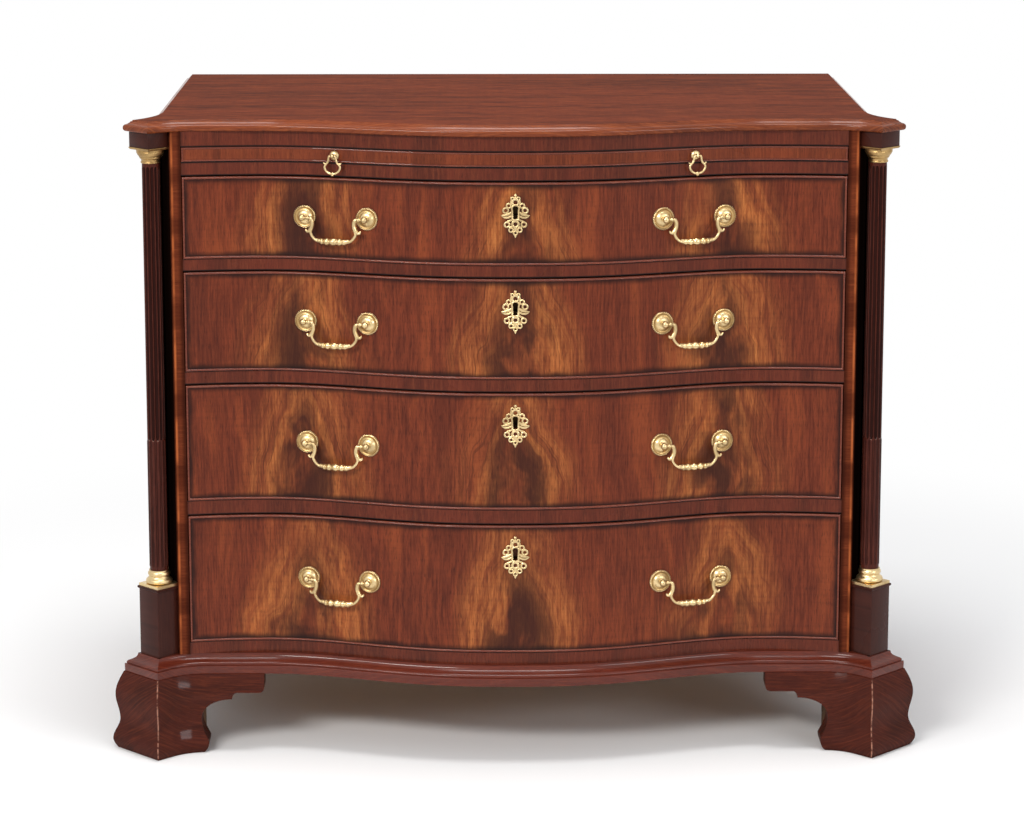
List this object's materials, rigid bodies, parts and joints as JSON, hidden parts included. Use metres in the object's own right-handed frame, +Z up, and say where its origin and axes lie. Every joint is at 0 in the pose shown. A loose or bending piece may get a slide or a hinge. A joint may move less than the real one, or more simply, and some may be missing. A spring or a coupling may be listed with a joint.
{
  "type": "serpentine chest of drawers",
  "caption": "Serpentine-fronted mahogany chest of drawers with a brushing slide, fluted corner columns, brass bail handles and ogee bracket feet.",
  "frame": {"origin": "on the floor, in the middle of the width and depth", "axes": "+X to the right seen from the front, +Y to the back, +Z up"},
  "size_m": [1.127, 0.6316, 0.885],
  "materials": {
    "top_veneer": "polished mahogany, long grain across the width",
    "side_veneer": "polished mahogany, upright grain",
    "front_veneer": "polished flame-figured mahogany veneer",
    "rail_veneer": "polished mahogany veneer",
    "stile_veneer": "polished mahogany, cross-grained",
    "moulding_mahogany": "polished carved mahogany",
    "foot_mahogany": "worn polished mahogany",
    "column_mahogany": "dark polished mahogany",
    "bead_mahogany": "polished mahogany moulding",
    "drawer_oak": "dry oak lining",
    "pine": "dry unfinished pine",
    "brass": "lacquered gilt brass",
    "lock_brass": "dull brass",
    "iron": "dark iron"
  },
  "bodies": {
    "case": {"top": "top_veneer", "side_left": "side_veneer", "side_right": "side_veneer", "backboards": "pine", "case_bottom": "pine", "stiles": "stile_veneer", "frieze_rail": "rail_veneer", "slide_rail": "rail_veneer", "drawer_rails": "rail_veneer", "bottom_rail": "rail_veneer", "dust_boards": "pine", "drawer_guides": "pine", "base_moulding": "moulding_mahogany", "foot_front_left": "foot_mahogany", "foot_front_right": "foot_mahogany", "foot_back_left": "foot_mahogany", "foot_back_right": "foot_mahogany", "column_left": "column_mahogany", "column_right": "column_mahogany", "column_capitals": "brass", "column_bases": "brass", "pedestals": "column_mahogany", "frieze_blocks": "moulding_mahogany"},
    "brushing_slide": {"slide_board": "rail_veneer", "slide_posts": "brass"},
    "ring_left": {"slide_ring_left": "brass"},
    "ring_right": {"slide_ring_right": "brass"},
    "drawer_1": {"drawer_1_front": "front_veneer", "drawer_1_beads": "bead_mahogany", "drawer_1_box": "drawer_oak", "drawer_1_mounts": "brass", "drawer_1_lock": "lock_brass"},
    "bolt_1": {"drawer_1_bolt": "iron"},
    "bail_1_left": {"drawer_1_bail_left": "brass"},
    "bail_1_right": {"drawer_1_bail_right": "brass"},
    "drawer_2": {"drawer_2_front": "front_veneer", "drawer_2_beads": "bead_mahogany", "drawer_2_box": "drawer_oak", "drawer_2_mounts": "brass", "drawer_2_lock": "lock_brass"},
    "bolt_2": {"drawer_2_bolt": "iron"},
    "bail_2_left": {"drawer_2_bail_left": "brass"},
    "bail_2_right": {"drawer_2_bail_right": "brass"},
    "drawer_3": {"drawer_3_front": "front_veneer", "drawer_3_beads": "bead_mahogany", "drawer_3_box": "drawer_oak", "drawer_3_mounts": "brass", "drawer_3_lock": "lock_brass"},
    "bolt_3": {"drawer_3_bolt": "iron"},
    "bail_3_left": {"drawer_3_bail_left": "brass"},
    "bail_3_right": {"drawer_3_bail_right": "brass"},
    "drawer_4": {"drawer_4_front": "front_veneer", "drawer_4_beads": "bead_mahogany", "drawer_4_box": "drawer_oak", "drawer_4_mounts": "brass", "drawer_4_lock": "lock_brass"},
    "bolt_4": {"drawer_4_bolt": "iron"},
    "bail_4_left": {"drawer_4_bail_left": "brass"},
    "bail_4_right": {"drawer_4_bail_right": "brass"}
  },
  "joints": [
    {"name": "brushing_slide_travel", "type": "slide", "parent": "case", "child": "brushing_slide", "axis": [0, -1, 0], "range_m": [0, 0.25]},
    {"name": "ring_left_hinge", "type": "hinge", "parent": "brushing_slide", "child": "ring_left", "pos_m": [-0.24665, -0.25647, 0.8382], "axis": [-0.9557, 0.2944, 0], "range_deg": [-5, 90]},
    {"name": "ring_right_hinge", "type": "hinge", "parent": "brushing_slide", "child": "ring_right", "pos_m": [0.24665, -0.25647, 0.8382], "axis": [-0.9557, -0.2944, 0], "range_deg": [-5, 90]},
    {"name": "drawer_1_travel", "type": "slide", "parent": "case", "child": "drawer_1", "axis": [0, -1, 0], "range_m": [0, 0.4]},
    {"name": "lock_1_bolt", "type": "slide", "parent": "drawer_1", "child": "bolt_1", "axis": [0, 0, 1], "range_m": [0, 0.008]},
    {"name": "bail_1_left_hinge", "type": "hinge", "parent": "drawer_1", "child": "bail_1_left", "pos_m": [-0.24641, -0.26093, 0.7533], "axis": [-0.9586, 0.2846, 0], "range_deg": [-5, 95]},
    {"name": "bail_1_right_hinge", "type": "hinge", "parent": "drawer_1", "child": "bail_1_right", "pos_m": [0.24641, -0.26093, 0.7533], "axis": [-0.9586, -0.2846, 0], "range_deg": [-5, 95]},
    {"name": "drawer_2_travel", "type": "slide", "parent": "case", "child": "drawer_2", "axis": [0, -1, 0], "range_m": [0, 0.4]},
    {"name": "lock_2_bolt", "type": "slide", "parent": "drawer_2", "child": "bolt_2", "axis": [0, 0, 1], "range_m": [0, 0.008]},
    {"name": "bail_2_left_hinge", "type": "hinge", "parent": "drawer_2", "child": "bail_2_left", "pos_m": [-0.24641, -0.26093, 0.6094], "axis": [-0.9586, 0.2846, 0], "range_deg": [-5, 95]},
    {"name": "bail_2_right_hinge", "type": "hinge", "parent": "drawer_2", "child": "bail_2_right", "pos_m": [0.24641, -0.26093, 0.6094], "axis": [-0.9586, -0.2846, 0], "range_deg": [-5, 95]},
    {"name": "drawer_3_travel", "type": "slide", "parent": "case", "child": "drawer_3", "axis": [0, -1, 0], "range_m": [0, 0.4]},
    {"name": "lock_3_bolt", "type": "slide", "parent": "drawer_3", "child": "bolt_3", "axis": [0, 0, 1], "range_m": [0, 0.008]},
    {"name": "bail_3_left_hinge", "type": "hinge", "parent": "drawer_3", "child": "bail_3_left", "pos_m": [-0.24641, -0.26093, 0.4396], "axis": [-0.9586, 0.2846, 0], "range_deg": [-5, 95]},
    {"name": "bail_3_right_hinge", "type": "hinge", "parent": "drawer_3", "child": "bail_3_right", "pos_m": [0.24641, -0.26093, 0.4396], "axis": [-0.9586, -0.2846, 0], "range_deg": [-5, 95]},
    {"name": "drawer_4_travel", "type": "slide", "parent": "case", "child": "drawer_4", "axis": [0, -1, 0], "range_m": [0, 0.4]},
    {"name": "lock_4_bolt", "type": "slide", "parent": "drawer_4", "child": "bolt_4", "axis": [0, 0, 1], "range_m": [0, 0.008]},
    {"name": "bail_4_left_hinge", "type": "hinge", "parent": "drawer_4", "child": "bail_4_left", "pos_m": [-0.24641, -0.26093, 0.2463], "axis": [-0.9586, 0.2846, 0], "range_deg": [-5, 95]},
    {"name": "bail_4_right_hinge", "type": "hinge", "parent": "drawer_4", "child": "bail_4_right", "pos_m": [0.24641, -0.26093, 0.2463], "axis": [-0.9586, -0.2846, 0], "range_deg": [-5, 95]}
  ]
}
